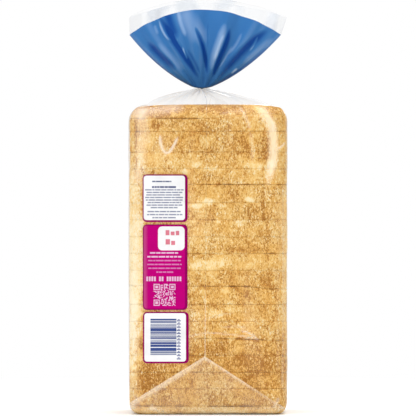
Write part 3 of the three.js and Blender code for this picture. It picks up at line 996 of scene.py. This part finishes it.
def tail_point(share, s):
    """A point of the tail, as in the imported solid: s is 0 at the neck, 1 at the edge of the print, and
    then runs on over the clear rim."""
    angle = share * 2 * math.pi
    across, deep = math.cos(angle), math.sin(angle)
    tip = across**2
    printed = min(s, 1)
    rim = max(s - 1, 0) / RIM_SHARE
    left = TAIL_REACH_LEFT * printed + RIM_REACH_LEFT * rim
    right = TAIL_REACH_RIGHT * printed + RIM_REACH_RIGHT * rim
    reach_x = left if across < 0 else right
    reach_y = TAIL_REACH_DEPTH * (1 - (1 - printed) ** TAIL_FLARE) + RIM_REACH_DEPTH * rim
    rise_side = TAIL_HEIGHT_SIDE * blend(printed, printed**2, TAIL_BOW_SIDE) + RIM_HEIGHT_SIDE * rim
    rise_front = TAIL_HEIGHT_FRONT * blend(printed, printed**2, TAIL_BOW_FRONT) + RIM_HEIGHT_FRONT * rim
    pleat = 2.2 * MM * pleat_wave(share) * math.sin(printed * 0.75 * math.pi) * (1 - tip**4)
    sag = 1.2 * MM * (1 - tip) * (1 - printed) ** 8
    x = NECK.x + (NECK_HALF_WIDTH + reach_x + pleat * deep**2) * across
    y = (NECK_HALF_DEPTH + reach_y + pleat) * deep
    return Vector((x, y, NECK.z + blend(rise_front, rise_side, tip) - sag))


def tail_relief(place, share, s):
    """Lift of the folds at a point of the tail, and the painted shade, below 0, or painted highlight, above
    0, that the print takes there.
    """
    facing = step_up(abs(place.y), 2 * MM, 8 * MM)
    spot = Vector((place.x if place.y < 0 else 2 * NECK.x - place.x, place.z))
    lift, tone = 0.0, 0.0
    for fold in TAIL_FOLDS:
        strength = fold.strength(spot) * facing
        lift += strength * fold.lift
        tone += strength * fold.tint
    gather = noise.noise(Vector((share * 46, s * 1.2, 4.4)))
    ripple = noise.noise(Vector((share * 110, s * 1.6, 1.7)))
    tight = math.sin(math.pi * min(s, 1)) ** 0.7
    lift += (0.5 * gather + 0.22 * ripple) * MM * tight
    # painted light and shade: paler on the gathers that stand out, darker between them, darker towards the
    # narrow neck, and darker at the two sides where the bowl turns away
    tone += 0.22 * gather - 0.3 * (1 - step_up(s, 0, 0.35)) * facing
    tone -= 0.6 * (1 - step_up(abs(place.y), 1 * MM, 9 * MM)) * (1 - step_up(s, 0.55, 0.95))
    return lift, tone


def tail_mesh():
    """The tail as a grid: a closed floor at the neck, the printed bowl, and the clear rim."""
    floor = [-1, -0.75, -0.4, -0.15]
    print_rows = [i / PRINT_ROWS for i in range(PRINT_ROWS + 1)]
    rim_rows = [1 + RIM_SHARE * (i + 1) / RIM_ROWS for i in range(RIM_ROWS)]
    rows = floor + print_rows + rim_rows
    bm = bmesh.new()
    painted_fold_light_layer = bm.verts.layers.float.new("tone")
    milky = bm.verts.layers.float.new("haze")
    bmesh.ops.create_grid(bm, x_segments=TAIL_COLUMNS, y_segments=len(rows) - 1, size=0.5)
    for v in bm.verts:
        share = v.co.x + 0.5
        s = rows[round((v.co.y + 0.5) * (len(rows) - 1))]
        if s < 0:
            neck = tail_point(share, 0)
            v.co = blend(neck, NECK, -s) + Vector((0, 0, 2.2 * MM * math.sqrt(1 + s) - 2.2 * MM))
            # painted shade inside the neck
            v[painted_fold_light_layer] = -0.3
            continue
        place = tail_point(share, s)
        lift, v[painted_fold_light_layer] = tail_relief(place, share, s)
        out = Vector(((place.x - NECK.x) * 0.6, place.y * 1.6, 0)).normalized()
        place += out * lift
        place.z += 0.9 * MM * noise.noise(Vector((share * 17, 0, 9.3))) * max(s - 1, 0) / RIM_SHARE
        v[milky] = 0.03 + 0.2 * step_up(noise.noise(Vector((share * 22, s * 1.5, 0.6))), 0.1, 0.5)
        v.co = place
    return bm, rows


def print_paint():
    """Blue ink on glossy film, deeper in the folds, as painted shade and as the doubled film, and pale where
    a fold catches the light, as painted highlights.
    """
    material, nodes, links, output = new_material("blue_print")
    shader = nodes.new("ShaderNodeBsdfPrincipled")
    tone = weigh_node(nodes, links, attribute_node(nodes, "tone"), 0.5, 0.5)
    stops = [(0.05, PRINT_FOLD_SHADE), (0.5, PRINT_BLUE), (0.95, PRINT_FOLD_HIGHLIGHT)]
    links.new(ramp_node(nodes, links, tone, stops), shader.inputs["Base Color"])
    shader.inputs["Roughness"].default_value = 0.35
    shader.inputs["Specular IOR Level"].default_value = 0.05
    crinkle = grain_node(nodes, links, 90, (1, 1, 0.6), 2)
    links.new(bump_node(nodes, links, crinkle, 0.4 * MM, 0.2), shader.inputs["Normal"])
    links.new(shader.outputs["BSDF"], output.inputs["Surface"])
    return material


bm, tail_rows = tail_mesh()
first_clear = len(tail_rows) - 1 - RIM_ROWS
for i, face in enumerate(bm.faces):
    face.material_index = 1 if i // TAIL_COLUMNS >= first_clear else 0
bmesh.ops.remove_doubles(bm, verts=bm.verts, dist=WELD)
tail = link_mesh(bm, "bag_tail")
shade_smooth(tail)
tail.data.materials.append(print_paint())
tail.data.materials.append(gathered_film)
wall = tail.modifiers.new("film thickness", "SOLIDIFY")
wall.thickness = TAIL_THICKNESS
wall.offset = -1
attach(tail, "root")
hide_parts("bag")

# Printed panels
# Three panels are printed on the film at the left of the seam side, one above the other: a white one of
# small print, a magenta one with a white field and a square code, and a white one with a bar code. The
# words are bars.
PANEL_PROUD = 0.3 * MM
FIELD_PROUD = PANEL_PROUD + 0.12 * MM
PANEL_CORNER = 3.4 * MM
PRINT_THICKNESS = 0.1 * MM
PANEL_CELL = 3 * MM  # no cell of a panel is larger, so that it follows the film
BORDER_WIDTH = 1.2 * MM
SHINE_START = -53 * MM
SHINE_END = -49.2 * MM


def srgb(*colour):
    """A colour as a screen gives it, 0 to 255, as the linear colour that a shader takes."""
    return tuple(((c / 255 + 0.055) / 1.055) ** 2.4 if c > 10 else c / 255 / 12.92 for c in colour)


def ink_paint(name, colour, shine=0.0):
    """Ink on glossy film, a little uneven. shine is how much paler it is at the panels' left edge: a painted
    highlight, where the film turns to the light."""
    material, nodes, links, output = new_material(name)
    shader = nodes.new("ShaderNodeBsdfPrincipled")
    cloud = grain_node(nodes, links, 60, (1, 1, 1), 2)
    paler = tuple(c * 1.05 for c in colour)
    deeper = tuple(c * 0.95 for c in colour)
    uneven = ramp_node(nodes, links, cloud, [(0.3, deeper), (0.7, paler)])
    where = nodes.new("ShaderNodeTexCoord")
    parts = nodes.new("ShaderNodeSeparateXYZ")
    links.new(where.outputs["Object"], parts.inputs["Vector"])
    edge = nodes.new("ShaderNodeMapRange")
    edge.inputs["From Min"].default_value = SHINE_END
    edge.inputs["From Max"].default_value = SHINE_START
    edge.inputs["To Max"].default_value = shine
    links.new(parts.outputs["X"], edge.inputs["Value"])
    shone = nodes.new("ShaderNodeMix")
    shone.data_type = "RGBA"
    links.new(edge.outputs["Result"], shone.inputs["Factor"])
    links.new(uneven, shone.inputs["A"])
    shone.inputs["B"].default_value = (1, 1, 1, 1)
    links.new(shone.outputs["Result"], shader.inputs["Base Color"])
    shader.inputs["Roughness"].default_value = 0.4
    shader.inputs["Specular IOR Level"].default_value = 0.03
    links.new(shader.outputs["BSDF"], output.inputs["Surface"])
    return material


PAPER, BORDER, INK, ACCENT = range(4)
white_ink = ink_paint("white_ink", srgb(230, 230, 231))
magenta_ink = ink_paint("magenta_ink", srgb(177, 0, 110), 0.07)
deep_magenta_ink = ink_paint("deep_magenta_ink", srgb(136, 2, 84))
pink_ink = ink_paint("pink_ink", srgb(200, 116, 170))
pale_pink_ink = ink_paint("pale_pink_ink", srgb(216, 176, 204))
navy_ink = ink_paint("navy_ink", srgb(92, 98, 128))
grey_ink = ink_paint("grey_ink", srgb(132, 136, 156))
bar_ink = ink_paint("bar_ink", srgb(56, 74, 130))
thin_bar_ink = ink_paint("thin_bar_ink", srgb(122, 130, 156))
salmon_ink = ink_paint("salmon_ink", srgb(206, 118, 134))


class Panel:
    """A rounded rectangle of film print, cut into cells by upright and level lines. Its border may be
    uneven: outer and inner are left, right, foot and head in millimetres."""

    def __init__(self, name, outer, inner, proud, inks):
        self.name = name
        self.outer = [value * MM for value in outer]
        self.inner = [value * MM for value in inner]
        self.proud = proud
        self.inks = inks
        self.uprights, self.levels, self.marks = set(), set(), []

    def mark(self, left, right, foot, head, ink=INK):
        """A rectangle of ink, in millimetres. Later marks lie over earlier ones."""
        self.marks.append(([value * MM for value in (left, right, foot, head)], ink))
        self.uprights |= {left, right}
        self.levels |= {foot, head}

    def words(self, left, right, middle, tall, seed, ink=INK, step=1.0, gap=0.5):
        """A line of print as bars of uneven length, one for each word."""
        draw = random.Random(seed)
        x = left
        while x < right - step:
            end = min(x + step * draw.randint(2, 7), right)
            self.mark(x, end, middle - tall / 2, middle + tall / 2, ink)
            x = end + gap

    def ring(self, left, foot, step):
        """A square ring with a dot in it, seven cells wide."""
        for inset, ink in ((-1, PAPER), (0, INK), (1, PAPER), (2, INK)):
            near, far = inset * step, (7 - inset) * step
            self.mark(left + near, left + far, foot + near, foot + far, ink)

    def ink_at(self, x, z):
        """The ink of the uppermost mark at a point."""
        for (left, right, foot, head), ink in reversed(self.marks):
            if left < x < right and foot < z < head:
                return ink
        return PAPER

    def build(self):
        """The panel as a thin printed skin that follows the film."""
        bm = bmesh.new()
        bmesh.ops.create_grid(bm, x_segments=1, y_segments=1, size=0.5)
        left, right, foot, head = self.outer
        for v in bm.verts:
            v.co = (blend(left, right, v.co.x + 0.5), 0, blend(foot, head, v.co.y + 0.5))
        bmesh.ops.bevel(
            bm, geom=bm.verts[:], affect="VERTICES", offset=PANEL_CORNER, segments=7, profile=0.5, material=-1
        )
        rim = bmesh.ops.inset_region(
            bm, faces=bm.faces[:], thickness=BORDER_WIDTH, use_boundary=True, use_even_offset=True
        )["faces"]
        for face in rim:
            face.material_index = BORDER
        a, b, c, d = self.inner
        for v in bm.verts:
            if not v.is_boundary:
                x = blend(a, b, (v.co.x - left - BORDER_WIDTH) / (right - left - 2 * BORDER_WIDTH))
                z = blend(c, d, (v.co.z - foot - BORDER_WIDTH) / (head - foot - 2 * BORDER_WIDTH))
                v.co = (x, 0, z)
        uprights = {x * MM for x in self.uprights} | {left + i * PANEL_CELL for i in range(1, 13)}
        levels = {z * MM for z in self.levels} | {foot + i * PANEL_CELL for i in range(1, 24)}
        for value, axis in [(x, 0) for x in sorted(uprights)] + [(z, 2) for z in sorted(levels)]:
            point, normal = Vector(), Vector()
            point[axis], normal[axis] = value, 1
            everything = bm.verts[:] + bm.edges[:] + bm.faces[:]
            bmesh.ops.bisect_plane(bm, geom=everything, plane_co=point, plane_no=normal, dist=0.001 * MM)
        for face in bm.faces:
            if face.material_index != BORDER:
                middle = face.calc_center_median()
                face.material_index = self.ink_at(middle.x, middle.z)
        for v in bm.verts:
            v.co = front_point(v.co.x, v.co.z, self.proud)
        panel = link_mesh(bm, self.name)
        for ink in self.inks:
            panel.data.materials.append(ink)
        backing = panel.modifiers.new("print thickness", "SOLIDIFY")
        backing.thickness = PRINT_THICKNESS
        backing.offset = -1
        panel.visible_shadow = False
        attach(panel, "root")


notice = Panel("panel_notice", (-53.6, -16.7, 158.2, 197.3), (-52.7, -18.9, 159.8, 196.3), PANEL_PROUD,
               [white_ink, deep_magenta_ink, navy_ink, grey_ink])
notice.words(-45.8, -30, 191.5, 1.1, 1, INK, 0.9, 0.3)
notice.words(-46, -26, 186.9, 1.6, 2, INK, 0.9, 0.35)
BODY_LINES = [  # left and right end of each
    (-51.5, -20),
    (-50.4, -21),
    (-50.6, -23),
    (-51.5, -20.5),
    (-51, -20),
    (-49.5, -22),
    (-50.4, -21),
    (-47, -25),
]
for i, (left, right) in enumerate(BODY_LINES):
    notice.words(left, right, 184.6 - i * 2.08, 1.05, 10 + i, ACCENT, 0.9, 0.45)
for i, (left, right) in enumerate([(-49.6, -22.5), (-50, -21), (-45.6, -26)]):
    notice.words(left, right, 166.8 - i * 2.5, 1.05, 30 + i, ACCENT, 0.9, 0.5)
notice.build()

appeal = Panel("panel_code", (-53.4, -16.8, 86.1, 156.3), (-52.5, -18.9, 87.3, 155.4), PANEL_PROUD,
               [magenta_ink, deep_magenta_ink, pale_pink_ink, pink_ink])
for i, (left, right) in enumerate([(-47.6, -23.6), (-49.8, -21.9)]):
    appeal.words(left, right, 132.9 - i * 3.14, 1.3, 50 + i, INK, 0.9, 0.6)
for i, (left, right) in enumerate([(-49, -22.3), (-49.8, -21.5), (-49, -22.4), (-42.4, -28.5)]):
    appeal.words(left, right, 126.6 - i * 3.14, 1.1, 52 + i, ACCENT, 0.9, 0.5)
CAPITALS = 14  # places in the line of tall blocks, two of them left blank
CAPITAL_BLANKS = (4, 7)
CAPITAL_STEP = 2.09
for i in range(CAPITALS):
    if i not in CAPITAL_BLANKS:
        appeal.mark(-50.6 + i * CAPITAL_STEP, -49.1 + i * CAPITAL_STEP, 109.8, 113.5)
CODE_CELLS = 25
CODE_WIDTH = 17.9
code_left, code_foot, code_step = -44.6, 89.6, CODE_WIDTH / CODE_CELLS
draw = random.Random(70)
for row in range(CODE_CELLS):
    for column in range(CODE_CELLS):
        if draw.random() < 0.4:
            x, z = code_left + column * code_step, code_foot + row * code_step
            appeal.mark(x, x + code_step, z, z + code_step)
for column, row in ((0, 0), (0, 18), (18, 18)):
    appeal.ring(code_left + column * code_step, code_foot + row * code_step, code_step)
appeal.build()

field = Panel("panel_field", (-41, -19.2, 135, 154.6), (-40.6, -19.6, 135.4, 154.2), FIELD_PROUD,
              [white_ink, white_ink, salmon_ink])
field.mark(-34.8, -31.6, 147.4, 151.6)
field.mark(-30.6, -27.4, 147.4, 150.4)
field.mark(-26.4, -23.6, 147.4, 151)
field.mark(-34.8, -31.2, 139.8, 144.2)
field.mark(-30.2, -27, 139.4, 142.8)
field.build()

barcode = Panel("panel_barcode", (-53.3, -15.8, 42.3, 84.6), (-52.2, -18.1, 43.8, 83.5), PANEL_PROUD,
                [white_ink, deep_magenta_ink, bar_ink, thin_bar_ink])
BAR_STEP = 0.33
BARS_FOOT = 49.2
BARS_HEAD = 78.9
draw = random.Random(90)
z = BARS_FOOT
while z < BARS_HEAD:
    tall = BAR_STEP * draw.choice([2, 3, 4, 5, 6, 8])
    barcode.mark(-47.2, -25.9, z, min(z + tall, BARS_HEAD), draw.choice([INK, INK, ACCENT]))
    z += tall + BAR_STEP * draw.choice([1, 1, 1, 2])
DIGITS = 13  # beside the bars, each a long and a short mark
DIGIT_STEP = 2.6
for i in range(DIGITS):
    foot = 45.6 + i * DIGIT_STEP
    barcode.mark(-25.6, -22.4, foot, foot + 0.8)
    barcode.mark(-24.8, -23.2, foot + 1.1, foot + 1.7)
barcode.build()
